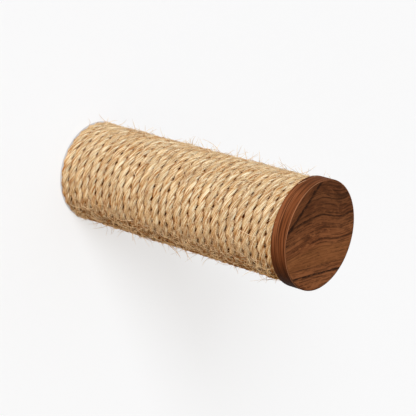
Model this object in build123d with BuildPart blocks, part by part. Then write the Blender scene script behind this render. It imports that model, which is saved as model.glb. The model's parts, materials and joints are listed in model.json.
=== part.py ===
from build123d import *
import os
from math import cos, pi, radians, sin, sqrt

os.makedirs("parts", exist_ok=True)

# A peg that stands out of a wall along -Y. The wall is the plane Y = 0, and +Z is up.
# Millimetres throughout. A depth is a distance out from the wall.
post_length = 287.0
wound_diameter = 106.0
post_edge = 1.0

# The rope. The real post has 29 turns that touch, and these 24 share its length.
rope_diameter = 10.0
rope_turns = 24
rope_end_gap = 0.2
glue_film = 0.5
climb_start = 285.0
climb_sweep = 90.0
flat_quarters = 3
gap_sample_step = 1.5

# The rope's ends, turned in and let into the ends of the post
tail_bend_radius = 12.0
tail_turn = 45.0
tail_straight = 12.0
tail_pocket_play = 0.8

# Walnut disc on the free end
cap_diameter = 112.0
cap_thickness = 18.0
cap_edge_radius = 0.8

# Dowels between the post and the disc
dowel_diameter = 8.0
dowel_length = 30.0
dowel_count = 3
dowel_circle = 44.0
dowel_start = 90.0
dowel_depth_in_cap = 11.0
dowel_end_play = 0.5
dowel_edge = 0.8

# Pan-head wood screws that hold the rope's two ends
screw_diameter = 4.0
screw_length = 28.0
screw_tip = 4.0
screw_head_diameter = 8.0
screw_head_height = 2.6
screw_head_round = 1.4
screw_head_inset = 0.6
screw_recess_width = 1.2
screw_recess_length = 4.4
screw_recess_depth = 1.4
screw_head_play = 0.2
screw_pilot_spare = 1.0

# Steel plate on the wall
flange_diameter = 60.0
flange_thickness = 6.0
flange_edge = 0.6
wall_hole_circle = 44.0
wall_hole_count = 4
wall_hole_start = 45.0
wall_hole_diameter = 5.5
wall_sink_diameter = 10.5

# M10 bolt through the plate, its spring washer and its nut
bolt_diameter = 10.0
bolt_length = 50.0
bolt_head_diameter = 20.0
bolt_head_inset = 0.3
bolt_end_chamfer = 1.0
bolt_socket_width = 6.0
bolt_socket_depth = 3.5
bolt_clearance_diameter = 10.5
washer_outer = 18.1
washer_inner = 10.3
washer_thickness = 2.2
washer_split = 1.6
nut_width = 16.0
nut_height = 8.4
nut_corner_chamfer = 0.9

# M10 insert screwed into the post
insert_diameter = 16.0
insert_length = 25.0
insert_rim_diameter = 21.0
insert_rim_thickness = 1.6
insert_slot_width = 2.2

# Hollows in the post around the plate, the nut and the bolt's end
flange_recess_diameter = 62.0
flange_recess_depth = 6.5
nut_pocket_diameter = 27.0
nut_pocket_depth = 20.0
bolt_bore_diameter = 11.5
bolt_bore_depth = 62.0

# Radial play of a round piece in its hole, and the angle of every countersink
running_play = 0.05
sink_angle = 90.0

# Worked out from the sizes above
rope_radius = rope_diameter / 2
winding_radius = wound_diameter / 2 - rope_radius
post_diameter = wound_diameter - 2 * rope_diameter - 2 * glue_film
first_turn_depth = rope_end_gap + rope_radius
last_turn_depth = post_length - first_turn_depth
rope_pitch = (last_turn_depth - first_turn_depth) / (rope_turns - 1)
tail_pocket_width = rope_diameter + tail_pocket_play
tail_pocket_depth = rope_end_gap + rope_diameter + tail_pocket_play / 2
dowel_depth_in_post = dowel_length - dowel_depth_in_cap
screw_reach = screw_head_inset + screw_head_height + screw_length
nut_corner_diameter = nut_width / cos(radians(30))


def out_from_wall(depth):
    """Sketch plane parallel to the wall, facing the room, with X across and Z up."""
    return Plane.XZ.offset(depth)


def at(angle, radius, depth):
    """Point round the post: angle 0 points along +X and 90 straight up."""
    return Vector(radius * cos(radians(angle)), -depth, radius * sin(radians(angle)))


def heading(angle):
    """Direction in which a flat turn runs at this angle."""
    return Vector(-sin(radians(angle)), 0, cos(radians(angle)))


def rope_tail(angle, depth, way):
    """Points where a rope end leaves its turn, ends its bend, is screwed, and stops.

    way is 1 for an end that runs on from the turn and -1 for one that runs back from it.
    """
    leaves = at(angle, winding_radius, depth)
    along = heading(angle) * way
    inward = at(angle, -1, 0)
    bend_along = tail_bend_radius * sin(radians(tail_turn))
    bend_inward = tail_bend_radius * (1 - cos(radians(tail_turn)))
    bent = leaves + along * bend_along + inward * bend_inward
    direction = along * cos(radians(tail_turn)) + inward * sin(radians(tail_turn))
    screwed = bent + direction * (tail_straight / 2)
    stops = bent + direction * tail_straight
    return leaves, bent, screwed, stops


def biarc(start, start_heading, end, end_heading):
    """Two arcs with tangents of one length, which join two points and keep both headings."""
    span = end - start
    bend = 2 * (1 - start_heading.dot(end_heading))
    slope = span.dot(start_heading + end_heading)
    reach = (sqrt(slope**2 + bend * span.dot(span)) - slope) / bend
    near = start + start_heading * reach
    far = end - end_heading * reach
    middle = (near + far) / 2
    TangentArc(start, middle, tangent=start_heading)
    TangentArc(middle, end, tangent=far - near)


def least_gap(edges):
    """Least clear distance between the rope and its own neighbouring turns."""
    points = []
    for edge in edges:
        steps = max(1, round(edge.length / gap_sample_step))
        points.extend(edge @ (step / steps) for step in range(steps))
    per_turn = round(2 * pi * winding_radius / gap_sample_step)
    nearest = min(
        (there - here).length
        for index, here in enumerate(points)
        for there in points[index + per_turn // 2 : index + per_turn * 3 // 2]
    )
    return nearest - rope_diameter


# Both rope ends lie on the side of the post where the turns step over. Each is listed with
# the depth of the post's end that it is let into, and the way into the wood from there.
wall_tail = rope_tail(climb_start + climb_sweep, first_turn_depth, -1)
cap_tail = rope_tail(climb_start, last_turn_depth, 1)
rope_ends = ((wall_tail, 0.0, 1), (cap_tail, post_length, -1))


# Rope: each turn lies flat for three quarters of its way, then steps over to the next
with BuildPart() as sisal_rope:
    with BuildLine() as rope_line:
        leaves, bent, screwed, stops = wall_tail
        Line(stops, bent)
        TangentArc(bent, leaves, tangent=bent - stops)
        for turn in range(rope_turns):
            depth = first_turn_depth + turn * rope_pitch
            for quarter in range(flat_quarters):
                angle = climb_start + climb_sweep - 360 + quarter * 90
                TangentArc(
                    at(angle, winding_radius, depth),
                    at(angle + 90, winding_radius, depth),
                    tangent=heading(angle),
                )
            if turn < rope_turns - 1:
                biarc(
                    at(climb_start, winding_radius, depth),
                    heading(climb_start),
                    at(climb_start + climb_sweep, winding_radius, depth + rope_pitch),
                    heading(climb_start + climb_sweep),
                )
        leaves, bent, screwed, stops = cap_tail
        TangentArc(leaves, bent, tangent=heading(climb_start))
        Line(bent, stops)
    rope_length = sum(edge.length for edge in rope_line.edges())
    rope_gap = least_gap(rope_line.edges())
    with BuildSketch(Plane(origin=rope_line.line @ 0, z_dir=rope_line.line % 0)):
        Circle(rope_radius)
    sweep()
    tube_volume = sisal_rope.part.volume
    for (leaves, bent, screwed, stops), end_depth, way in rope_ends:
        with BuildSketch(out_from_wall(end_depth)):
            with Locations((screwed.X, screwed.Z)):
                Circle(screw_head_diameter / 2 + screw_head_play)
        extrude(amount=way * (screw_head_inset + screw_head_height), mode=Mode.SUBTRACT)
        with BuildSketch(out_from_wall(end_depth)):
            with Locations((screwed.X, screwed.Z)):
                Circle(screw_diameter / 2 + running_play)
        extrude(amount=way * screw_reach, mode=Mode.SUBTRACT)
sisal_rope.part.label = "sisal_rope"
export_step(sisal_rope.part, "parts/sisal_rope.step")

print(f"rope: {rope_length:.1f} mm long, least gap between turns {rope_gap:.2f} mm")
section_volume = pi * rope_radius**2 * rope_length
print(f"rope: tube {tube_volume:.0f} mm3, section x length {section_volume:.0f} mm3")


# Post: turned from pine, bored from the wall side for what holds it
with BuildPart() as post_core:
    with BuildSketch(out_from_wall(0)):
        Circle(post_diameter / 2)
    extrude(amount=post_length)
    chamfer(post_core.edges().filter_by(GeomType.CIRCLE), post_edge)
    for diameter, depth in (
        (flange_recess_diameter, flange_recess_depth),
        (nut_pocket_diameter, nut_pocket_depth),
        (insert_diameter + 2 * running_play, nut_pocket_depth + insert_length),
        (bolt_bore_diameter, bolt_bore_depth),
    ):
        with BuildSketch(out_from_wall(0)):
            Circle(diameter / 2)
        extrude(amount=depth, mode=Mode.SUBTRACT)
    with BuildSketch(out_from_wall(post_length)):
        with PolarLocations(dowel_circle / 2, dowel_count, start_angle=dowel_start):
            Circle(dowel_diameter / 2 + running_play)
    extrude(amount=-(dowel_depth_in_post + dowel_end_play), mode=Mode.SUBTRACT)
    for (leaves, bent, screwed, stops), end_depth, way in rope_ends:
        with BuildSketch(out_from_wall(end_depth)):
            with BuildLine():
                Line((stops.X, stops.Z), (bent.X, bent.Z))
                TangentArc(
                    (bent.X, bent.Z),
                    (leaves.X, leaves.Z),
                    tangent=((bent - stops).X, (bent - stops).Z),
                )
            trace(line_width=tail_pocket_width)
        extrude(amount=way * tail_pocket_depth, mode=Mode.SUBTRACT)
        with BuildSketch(out_from_wall(end_depth)):
            with Locations((screwed.X, screwed.Z)):
                Circle(screw_diameter / 2 + running_play)
        extrude(amount=way * (screw_reach + screw_pilot_spare), mode=Mode.SUBTRACT)
post_core.part.label = "post_core"
export_step(post_core.part, "parts/post_core.step")


# Screws through the rope's ends, each turned round its own axis
with BuildPart() as rope_end_screws:
    for (leaves, bent, screwed, stops), end_depth, way in rope_ends:
        head_top = Vector(screwed.X, -(end_depth + way * screw_head_inset), screwed.Z)
        with BuildSketch(Plane(origin=head_top, x_dir=(1, 0, 0), z_dir=(0, 0, way))) as profile:
            with BuildLine():
                Polyline(
                    (0, 0),
                    (screw_head_diameter / 2, 0),
                    (screw_head_diameter / 2, -screw_head_height),
                    (screw_diameter / 2, -screw_head_height),
                    (screw_diameter / 2, screw_tip - screw_head_height - screw_length),
                    (0, -screw_head_height - screw_length),
                    close=True,
                )
            make_face()
            fillet(profile.vertices().group_by(Axis.Y)[-1].sort_by(Axis.X)[-1], screw_head_round)
        revolve(axis=Axis(head_top, (0, 1, 0)))
        with BuildSketch(Plane(origin=head_top, x_dir=(1, 0, 0), z_dir=(0, way, 0))):
            Rectangle(screw_recess_width, screw_recess_length)
            Rectangle(screw_recess_length, screw_recess_width)
        extrude(amount=-screw_recess_depth, mode=Mode.SUBTRACT)
rope_end_screws.part.label = "rope_end_screws"
export_step(rope_end_screws.part, "parts/rope_end_screws.step")


# Disc on the free end
with BuildPart() as end_cap:
    with BuildSketch(out_from_wall(post_length)):
        Circle(cap_diameter / 2)
    extrude(amount=cap_thickness)
    fillet(end_cap.edges().filter_by(GeomType.CIRCLE), cap_edge_radius)
    with BuildSketch(out_from_wall(post_length)):
        with PolarLocations(dowel_circle / 2, dowel_count, start_angle=dowel_start):
            Circle(dowel_diameter / 2 + running_play)
    extrude(amount=dowel_depth_in_cap + dowel_end_play, mode=Mode.SUBTRACT)
end_cap.part.label = "end_cap"
export_step(end_cap.part, "parts/end_cap.step")


# Dowels
with BuildPart() as cap_dowels:
    with BuildSketch(out_from_wall(post_length - dowel_depth_in_post)):
        with PolarLocations(dowel_circle / 2, dowel_count, start_angle=dowel_start):
            Circle(dowel_diameter / 2)
    extrude(amount=dowel_length)
    chamfer(cap_dowels.edges().filter_by(GeomType.CIRCLE), dowel_edge)
cap_dowels.part.label = "cap_dowels"
export_step(cap_dowels.part, "parts/cap_dowels.step")


# Plate on the wall, sunk on the wall side for its bolt and on the room side for its screws
with BuildPart() as wall_flange:
    with BuildSketch(out_from_wall(0)):
        Circle(flange_diameter / 2)
    extrude(amount=flange_thickness)
    chamfer(wall_flange.edges().filter_by(GeomType.CIRCLE), flange_edge)
    with Locations(Plane(origin=(0, 0, 0), x_dir=(1, 0, 0), z_dir=(0, 1, 0))):
        CounterSinkHole(
            radius=bolt_clearance_diameter / 2,
            counter_sink_radius=bolt_head_diameter / 2 + bolt_head_inset,
            counter_sink_angle=sink_angle,
        )
    with Locations(out_from_wall(flange_thickness)):
        with PolarLocations(wall_hole_circle / 2, wall_hole_count, start_angle=wall_hole_start):
            CounterSinkHole(
                radius=wall_hole_diameter / 2,
                counter_sink_radius=wall_sink_diameter / 2,
                counter_sink_angle=sink_angle,
            )
wall_flange.part.label = "wall_flange"
export_step(wall_flange.part, "parts/wall_flange.step")


# Bolt: a countersunk head just under the plate's back, and a shank out into the room
with BuildPart() as flange_bolt:
    head_radius = bolt_head_diameter / 2 - running_play
    shank_radius = bolt_diameter / 2
    head_end = bolt_head_inset + head_radius - shank_radius
    with BuildSketch(Plane.XY):
        with BuildLine():
            Polyline(
                (0, -bolt_head_inset),
                (head_radius, -bolt_head_inset),
                (shank_radius, -head_end),
                (shank_radius, bolt_end_chamfer - bolt_length),
                (shank_radius - bolt_end_chamfer, -bolt_length),
                (0, -bolt_length),
                close=True,
            )
        make_face()
    revolve(axis=Axis.Y)
    with BuildSketch(out_from_wall(bolt_head_inset)):
        RegularPolygon(bolt_socket_width / 2, 6, major_radius=False)
    extrude(amount=bolt_socket_depth, mode=Mode.SUBTRACT)
flange_bolt.part.label = "flange_bolt"
export_step(flange_bolt.part, "parts/flange_bolt.step")


# Spring washer: a ring with one split
with BuildPart() as lock_washer:
    with BuildSketch(out_from_wall(flange_thickness)):
        Circle(washer_outer / 2)
        Circle(washer_inner / 2, mode=Mode.SUBTRACT)
        with Locations((washer_outer / 2, 0)):
            Rectangle(washer_outer / 2, washer_split, mode=Mode.SUBTRACT)
    extrude(amount=washer_thickness)
lock_washer.part.label = "lock_washer"
export_step(lock_washer.part, "parts/lock_washer.step")


# Nut: a hexagon whose corners are turned off at both faces
with BuildPart() as lock_nut:
    nut_start = flange_thickness + washer_thickness
    with BuildSketch(out_from_wall(nut_start)):
        RegularPolygon(nut_width / 2, 6, major_radius=False)
        Circle(bolt_diameter / 2 + running_play, mode=Mode.SUBTRACT)
    extrude(amount=nut_height)
    with BuildSketch(Plane.XY):
        with BuildLine():
            Polyline(
                (0, -nut_start),
                (nut_width / 2, -nut_start),
                (nut_corner_diameter / 2, -nut_start - nut_corner_chamfer / 2),
                (nut_corner_diameter / 2, -nut_start - nut_height + nut_corner_chamfer / 2),
                (nut_width / 2, -nut_start - nut_height),
                (0, -nut_start - nut_height),
                close=True,
            )
        make_face()
    revolve(axis=Axis.Y, mode=Mode.INTERSECT)
lock_nut.part.label = "lock_nut"
export_step(lock_nut.part, "parts/lock_nut.step")


# Insert: its rim rests on the floor of the nut's pocket, and has a slot for a screwdriver
with BuildPart() as threaded_insert:
    with BuildSketch(out_from_wall(nut_pocket_depth)):
        Circle(insert_diameter / 2)
    extrude(amount=insert_length)
    with BuildSketch(out_from_wall(nut_pocket_depth)):
        Circle(insert_rim_diameter / 2)
    extrude(amount=-insert_rim_thickness)
    with BuildSketch(out_from_wall(nut_pocket_depth - insert_rim_thickness)):
        Rectangle(insert_rim_diameter, insert_slot_width)
    extrude(amount=insert_rim_thickness, mode=Mode.SUBTRACT)
    with BuildSketch(out_from_wall(nut_pocket_depth - insert_rim_thickness)):
        Circle(bolt_diameter / 2 + running_play)
    extrude(amount=insert_rim_thickness + insert_length, mode=Mode.SUBTRACT)
threaded_insert.part.label = "threaded_insert"
export_step(threaded_insert.part, "parts/threaded_insert.step")
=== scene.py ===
"""Looks of the wall-mounted cat perch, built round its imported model.

The wall is the plane Y = 0 and the peg stands out of it along -Y. Metres throughout.
"""

import json
import math
import random
from functools import reduce
from typing import NamedTuple

import bpy
import numpy as np
from bpy.props import FloatProperty, FloatVectorProperty, IntProperty, PointerProperty
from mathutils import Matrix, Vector
from mathutils.bvhtree import BVHTree

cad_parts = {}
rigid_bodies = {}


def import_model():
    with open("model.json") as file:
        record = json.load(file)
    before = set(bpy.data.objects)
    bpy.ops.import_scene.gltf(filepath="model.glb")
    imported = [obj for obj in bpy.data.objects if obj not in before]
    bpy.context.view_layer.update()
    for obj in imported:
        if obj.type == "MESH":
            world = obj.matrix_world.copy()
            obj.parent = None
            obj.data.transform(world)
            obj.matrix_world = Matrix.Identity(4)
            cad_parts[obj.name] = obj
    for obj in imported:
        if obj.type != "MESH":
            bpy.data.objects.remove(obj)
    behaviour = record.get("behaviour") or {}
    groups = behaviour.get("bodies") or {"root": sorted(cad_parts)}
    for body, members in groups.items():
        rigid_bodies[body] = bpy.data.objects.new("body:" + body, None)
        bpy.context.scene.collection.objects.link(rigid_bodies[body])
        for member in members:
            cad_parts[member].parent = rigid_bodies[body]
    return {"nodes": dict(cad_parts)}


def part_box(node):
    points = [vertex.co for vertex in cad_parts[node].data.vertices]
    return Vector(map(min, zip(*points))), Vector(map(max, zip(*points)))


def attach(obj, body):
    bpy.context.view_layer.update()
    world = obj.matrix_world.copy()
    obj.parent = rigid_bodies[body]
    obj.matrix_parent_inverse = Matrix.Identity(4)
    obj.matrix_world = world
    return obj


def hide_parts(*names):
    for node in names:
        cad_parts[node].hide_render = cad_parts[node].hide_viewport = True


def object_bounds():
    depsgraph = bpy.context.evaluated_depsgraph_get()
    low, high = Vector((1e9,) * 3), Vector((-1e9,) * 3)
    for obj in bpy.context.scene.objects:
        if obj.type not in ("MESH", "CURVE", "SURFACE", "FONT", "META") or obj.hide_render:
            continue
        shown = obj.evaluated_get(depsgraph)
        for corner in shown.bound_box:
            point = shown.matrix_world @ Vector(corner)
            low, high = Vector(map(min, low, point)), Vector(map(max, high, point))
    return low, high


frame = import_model()
cad_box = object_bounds()

bl_info = {
    "name": "Wall-Mounted Cat Perch",
    "version": (1, 0, 0),
    "blender": (4, 5, 0),
    "location": "View3D > Sidebar > Cat Perch",
    "description": "Winds the sisal rope on the peg and gives every piece its finish",
    "category": "Object",
}

BODY = "root"
ROPE_NODE = "sisal_rope"
STRAND_NAMES = ("rope_strand_1", "rope_strand_2", "rope_strand_3")
FULL_TURN = 2 * math.pi

post_low, post_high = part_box("post_core")
cap_low, cap_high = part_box("end_cap")
POST_LENGTH = post_high.y - post_low.y
WOUND_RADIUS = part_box(ROPE_NODE)[1].z


class Waves(NamedTuple):
    """An uneven number along the rope: its seed, and the lengths that its waves repeat over."""

    seed: int
    lengths: tuple


WANDER = Waves(3, (0.11, 0.19, 0.37))
LAY_DRIFT = Waves(5, (0.9, 1.7, 2.6))
SWELL = Waves(11, (0.021, 0.037, 0.083, 0.2))

# Step between the places that two strands take their noise from.
STRAND_TONE = 0.37

# Lengths of rope over which it starts to wander, gets pressed flat, and drifts in its lay.
CALM_LENGTH = 0.05
PRESS_LENGTH = 0.03
DRIFT_LENGTH = 0.25

# Fibres keep this far inside the ends of the winding.
WALL_MARGIN = 0.0015
DISC_MARGIN = 0.0010

# Each range is a share of the usual thickness, and of the way from dark to pale.
FIBRE_THICKNESS = (0.6, 1.3)
FIBRE_TONE = (0.2, 1.0)

# Lying fibres: angles in radians, bends in radians to the metre. UNDER is added underneath.
MATTED_ANGLE = math.radians(230)
MATTED_SPREAD = 0.45
UNDER_START = 0.25
LYING_HEADING = -0.17
LYING_SPREAD = 0.20
LYING_SPREAD_UNDER = 0.90
LYING_BEND = 40
LYING_BEND_UNDER = 60
LYING_LENGTHS = (0.45, 1.5)
LYING_LENGTH_UNDER = 0.6
LYING_SAG = 0.0003
LYING_CLEARANCE = 0.6
LYING_END_FLUFF = 1.5

# Matted fibres start below this share of the radius, and are either pale or dark.
MATTED_HEIGHT = -0.4
MATTED_PALE_FROM = 0.52
MATTED_PALE = (0.85, 0.30)
MATTED_DARK = 0.2

# Stray fibres: each pair is a usual value and its spread. Angles in radians.
STRAY_HEADING = (1.0, 0.8)
STRAY_LIFT = (0.15, 0.22)
STRAY_LIFT_BOUNDS = (0.08, 0.9)
STRAY_CURL = 60
STRAY_LENGTH_SPREAD = 0.5
STRAY_ROOT = 0.0004
STRAY_PAST_POST = 0.008
# Stray fibres are paler than the others: partly their own tone, partly painted light for light
# shining through them.
STRAY_TONE = (0.3, 0.7)
STRAY_THICKNESS = 1.25


class Vein(NamedTuple):
    """A dark line in the disc, and how far to the right it's faded and how far it's full."""

    height: float
    width: float
    strength: float
    faded: float
    full: float


VEINS = (
    Vein(0.0215, 0.0010, 0.80, -0.060, -0.040),
    Vein(-0.0028, 0.0009, 0.70, -0.024, -0.006),
    Vein(-0.0300, 0.0007, 0.55, -0.070, -0.030),
    Vein(-0.0382, 0.0012, 0.95, -0.060, -0.044),
    Vein(0.0425, 0.0026, 0.60, 0.012, 0.030),
    Vein(0.0058, 0.0006, 0.50, -0.018, -0.036),
    Vein(0.0120, 0.0005, 0.35, -0.060, -0.020),
    Vein(-0.0130, 0.0005, 0.35, 0.010, -0.030),
)


def size(name, default, description):
    """A length that a user can change, in metres."""
    return FloatProperty(
        name=name, description=description, default=default,
        unit="LENGTH", subtype="DISTANCE", precision=5,
    )


def spot(name, default, description):
    """A place that a user can change, in metres."""
    return FloatVectorProperty(
        name=name, description=description, default=default,
        subtype="TRANSLATION", unit="LENGTH", precision=5,
    )


def angle(name, degrees, description):
    """An angle that a user can change, given here in degrees."""
    return FloatProperty(
        name=name, description=description, default=math.radians(degrees),
        unit="ROTATION", subtype="ANGLE",
    )


def share(name, default, description):
    """A plain number that a user can change."""
    return FloatProperty(name=name, description=description, default=default, precision=3)


def count(name, default, description):
    """A whole number that a user can change."""
    return IntProperty(name=name, description=description, default=default, min=1)


def colour(name, default, description):
    """A linear colour that a user can change."""
    return FloatVectorProperty(
        name=name, description=description, default=default,
        subtype="COLOR", size=3, min=0.0, max=1.0,
    )


class RopeSettings(bpy.types.PropertyGroup):
    """The rope and how it is wound."""

    turns: count("Turns", 29, "Turns of rope side by side along the post")
    diameter: size("Rope Diameter", 0.010, "Thickness of the rope")
    end_gap: size("End Gap", 0.0002, "Room between the winding and the wall or the disc")
    climb_start: angle("Climb Start", 285, "Where a turn starts to step over to the next")
    climb_sweep: angle("Climb Sweep", 90, "How far round the step goes")
    tail_bend: size("Tail Bend", 0.012, "Radius of the bend where a rope end turns in")
    tail_turn: angle("Tail Turn", 45, "How far a rope end turns in")
    tail_straight: size("Tail Straight", 0.012, "Straight length of a rope end in the wood")
    lay: size("Lay", 0.03434, "Length of rope in which a strand goes once round")
    lay_drift: share("Lay Drift", 0.030, "Share by which the lay varies along the rope")
    strand_radius: size("Strand Radius", 0.00325, "Half the thickness of one strand")
    strand_swell: share("Strand Swell", 0.06, "Share by which a strand's thickness varies")
    squareness: share("Squareness", 6.0, "Exponent of the rope's section. 2 is round")
    end_squareness: share("End Squareness", 14.0, "Same, where a turn meets wall or disc")
    end_flare: size("End Flare", 0.0004, "How far the turn on the wall stands out")
    wander: size("Wander", 0.00022, "How far the rope wanders from an even spacing")
    ring_step: size("Ring Step", 0.0019, "Length of rope between two rings of a strand's mesh")
    sides: count("Sides", 18, "Faces round a strand")
    # Painted shade: the dark colour laid into the slits between turns and over the rope's
    # underside.
    shade: colour("Groove Colour", (0.055, 0.0105, 0.0008), "Fibres deep between the strands")
    # Besides the brownest fibres, this brown is laid into the grooves as painted shade.
    brown: colour("Brown Fibre Colour", (0.300, 0.115, 0.022), "The brownest fibres")
    body: colour("Fibre Colour", (0.580, 0.445, 0.250), "Most of the fibres")
    pale: colour("Pale Fibre Colour", (0.775, 0.730, 0.550), "The palest fibres")


class FibreSettings(bpy.types.PropertyGroup):
    """Loose fibres on the rope."""

    lying: count("Lying Fibres", 4200, "Fibres that lie on the winding")
    standing: count("Standing Fibres", 1300, "Fibres that stand off the winding")
    radius: size("Fibre Radius", 0.00022, "Half the thickness of a fibre")
    fluff: size("Fluff", 0.0006, "How far a lying fibre usually lifts off the rope")
    matting_and_underside_shade: share("Matted", 0.16, "Share of the lying fibres that mat the underside")
    thick_share: share("Thick Share", 1.8, "Thickness of a matted fibre to the others")
    steps: count("Fibre Steps", 7, "Stretches in the mesh of a fibre")
    lying_length: size("Lying Length", 0.011, "Usual length of a lying fibre")
    standing_length: size("Standing Length", 0.0150, "Usual length of a standing fibre")
    reach: size("Reach", 0.013, "Furthest that a fibre stands off the winding")
    dark: colour("Dark Fibre Colour", (0.310, 0.130, 0.032), "The darkest loose fibres")
    pale: colour("Pale Loose Colour", (0.860, 0.730, 0.500), "The palest loose fibres")


class WoodSettings(bpy.types.PropertyGroup):
    """Walnut of the disc, pine of the post and beech of the dowels."""

    walnut_dark: colour("Walnut Dark", (0.020, 0.0074, 0.0034), "Dark veins in the walnut")
    walnut_body: colour("Walnut Body", (0.146, 0.0500, 0.0190), "Most of the walnut")
    walnut_light: colour("Walnut Light", (0.218, 0.0830, 0.0325), "Lightest walnut")
    # Partly the turned edge's own colour, partly a painted sheen: its paler tint stands in for a
    # soft reflection.
    walnut_edge_and_sheen: colour("Walnut Edge", (0.226, 0.0880, 0.0390), "Walnut round the turned edge")
    # Paler front corner: partly rubbed wear, partly a painted highlight along the rounded front
    # edge.
    walnut_wear_and_highlight: colour("Walnut Worn", (0.420, 0.2000, 0.1050), "Rubbed front corner of the disc")
    walnut_warm: colour("Walnut Warm", (0.192, 0.0750, 0.0250), "Yellower walnut, low on the disc")
    knot_border: size("Knot Border", 0.0445, "Where the paler wood at the upper left starts")
    vein_drop: size("Vein Drop", 0.010, "How far the upper veins drop towards the right")
    edge_skin: size("Edge Skin", 0.0014, "Depth of the turned edge's finish")
    pine_early: colour("Pine Earlywood", (0.660, 0.440, 0.220), "Pale part of a pine ring")
    pine_late: colour("Pine Latewood", (0.400, 0.195, 0.070), "Dark part of a pine ring")
    pine_pith: spot("Pine Pith", (-0.014, 0.0, 0.009), "Middle of the pine's growth rings")
    pine_ring: size("Pine Ring", 0.0034, "Width of a growth ring")
    beech_body: colour("Beech Body", (0.520, 0.310, 0.160), "Most of the beech")
    beech_fleck: colour("Beech Fleck", (0.340, 0.170, 0.075), "Flecks in the beech")


class MetalSettings(bpy.types.PropertyGroup):
    """Plate, bolt, nut, washer, insert and screws."""

    zinc: colour("Zinc", (0.560, 0.575, 0.600), "Bright zinc plate")
    zinc_dull: colour("Dull Zinc", (0.36, 0.37, 0.40), "Clouded zinc plate")
    zinc_roughness: share("Zinc Roughness", 0.26, "Roughness where the zinc is brightest")
    brass: colour("Brass", (0.620, 0.430, 0.150), "Turned brass")
    brass_dull: colour("Dull Brass", (0.38, 0.22, 0.07), "Clouded brass")
    brass_roughness: share("Brass Roughness", 0.24, "Roughness where the brass is brightest")
    coat: colour("Powder Coat", (0.020, 0.020, 0.022), "Black powder coat")
    coat_dust: colour("Dusty Coat", (0.038, 0.038, 0.0418), "Powder coat with dust on it")
    coat_grain: size("Coat Grain", 0.0009, "Size of the coat's orange peel")


class StageSettings(bpy.types.PropertyGroup):
    """Wall, lamps and camera."""

    wall_radius: size("Wall Radius", 3.2, "Half the width of the wall")
    wall_hole: size("Wall Hole", 0.0435, "Opening in the wall behind the post")
    wall_lift: size("Wall Lift", 0.0002, "How far the wall stands behind the plane Y = 0")
    wall_shine: share("Wall Shine", 0.608, "Part of the wall's colour that no shadow reaches")
    wall_share: colour("Wall Share", (0.327, 0.348, 0.371), "Part of it that shadows reach")
    contact_start: size("Contact Start", 0.0002, "Where the contact shadow is darkest")
    contact_end: size("Contact End", 0.0013, "How far from the winding the contact shadow ends")
    contact_shine: share("Contact Shine", 0.45, "Share of the wall's shine left at its darkest")
    backdrop: share("Backdrop", 0.955, "Brightness of what is seen past the wall")
    sky: colour("Sky", (0.600, 0.620, 0.655), "Light from above")
    low_sky: colour("Low Sky", (0.46, 0.31, 0.165), "Light from below")
    key: share("Key", 0.90, "Light of the large soft lamp on a surface that faces it")
    bounce: colour("Bounce", (0.98, 0.58, 0.24), "Light that the wall throws back on the peg")
    key_spread: angle("Key Spread", 30, "Width of the large soft lamp as the peg sees it")
    key_azimuth: angle("Key Azimuth", -42, "Lamp's place left of straight out from the wall")
    key_elevation: angle("Key Elevation", 38, "Lamp's height over the peg")
    rear_power: FloatProperty(
        name="Rear Power", description="Strength of the lamp behind the wall", default=14.0,
        unit="POWER",
    )
    rear_width: size("Rear Width", 0.6, "Width of the lamp behind the wall")
    rear_place: spot("Rear Place", (0.7, 1.6, 0.9), "Lamp behind the wall, from the peg's middle")
    camera_azimuth: angle("Camera Azimuth", 49.39, "Way the camera looks, from +Y towards +X")
    camera_pitch: angle("Camera Pitch", 20.06, "How far the camera looks down")
    camera_distance: size("Camera Distance", 1.654, "From the camera to the point it looks at")
    camera_aim: spot(
        "Camera Aim", (0.0076, -0.0019, -0.0095),
        "Point that the camera looks at, from the peg's middle",
    )
    lens: FloatProperty(
        name="Lens", description="Focal length on a 36 mm wide sensor", default=138.29,
        unit="CAMERA",
    )


def feed(tree, target, inputs):
    """Sets a node's inputs. Each is a plain value or the output socket that it is linked to."""
    for name, value in inputs.items():
        if isinstance(value, bpy.types.NodeSocket):
            tree.links.new(value, target.inputs[name])
        else:
            target.inputs[name].default_value = value


def node(tree, kind, inputs=None, **settings):
    """Adds a node with its settings and inputs."""
    made = tree.nodes.new(kind)
    for name, value in settings.items():
        setattr(made, name, value)
    feed(tree, made, inputs or {})
    return made


def maths(tree, operation, *values):
    """One sum on up to three numbers."""
    return node(tree, "ShaderNodeMath", dict(enumerate(values)), operation=operation).outputs[0]


def product(tree, *factors):
    """Numbers multiplied together."""
    return reduce(lambda first, second: maths(tree, "MULTIPLY", first, second), factors)


def total(tree, *terms):
    """Numbers added together."""
    return reduce(lambda first, second: maths(tree, "ADD", first, second), terms)


def sway(tree, value, width):
    """Turns a number from 0 to 1 into one of the given width about zero."""
    return product(tree, maths(tree, "SUBTRACT", value, 0.5), width)


def paint(value):
    """A plain colour with its alpha, or the socket of a colour as it is."""
    return value if isinstance(value, bpy.types.NodeSocket) else (*value, 1.0)


def mix(tree, factor, first, second):
    """Mixes two colours."""
    inputs = {0: factor, 6: paint(first), 7: paint(second)}
    return node(tree, "ShaderNodeMix", inputs, data_type="RGBA").outputs[2]


def layers(tree, base, colour_over, amounts):
    """Lays one colour over another several times, each by its own amount."""
    for amount in amounts:
        base = mix(tree, amount, base, colour_over)
    return base


def ramp(tree, value, low, high, to_low=0.0, to_high=1.0, smooth=True):
    """Maps a number from one range to another and stops at its ends."""
    made = node(
        tree, "ShaderNodeMapRange", {0: value, 1: low, 2: high, 3: to_low, 4: to_high},
        interpolation_type="SMOOTHSTEP" if smooth else "LINEAR",
    )
    return made.outputs[0]


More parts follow.
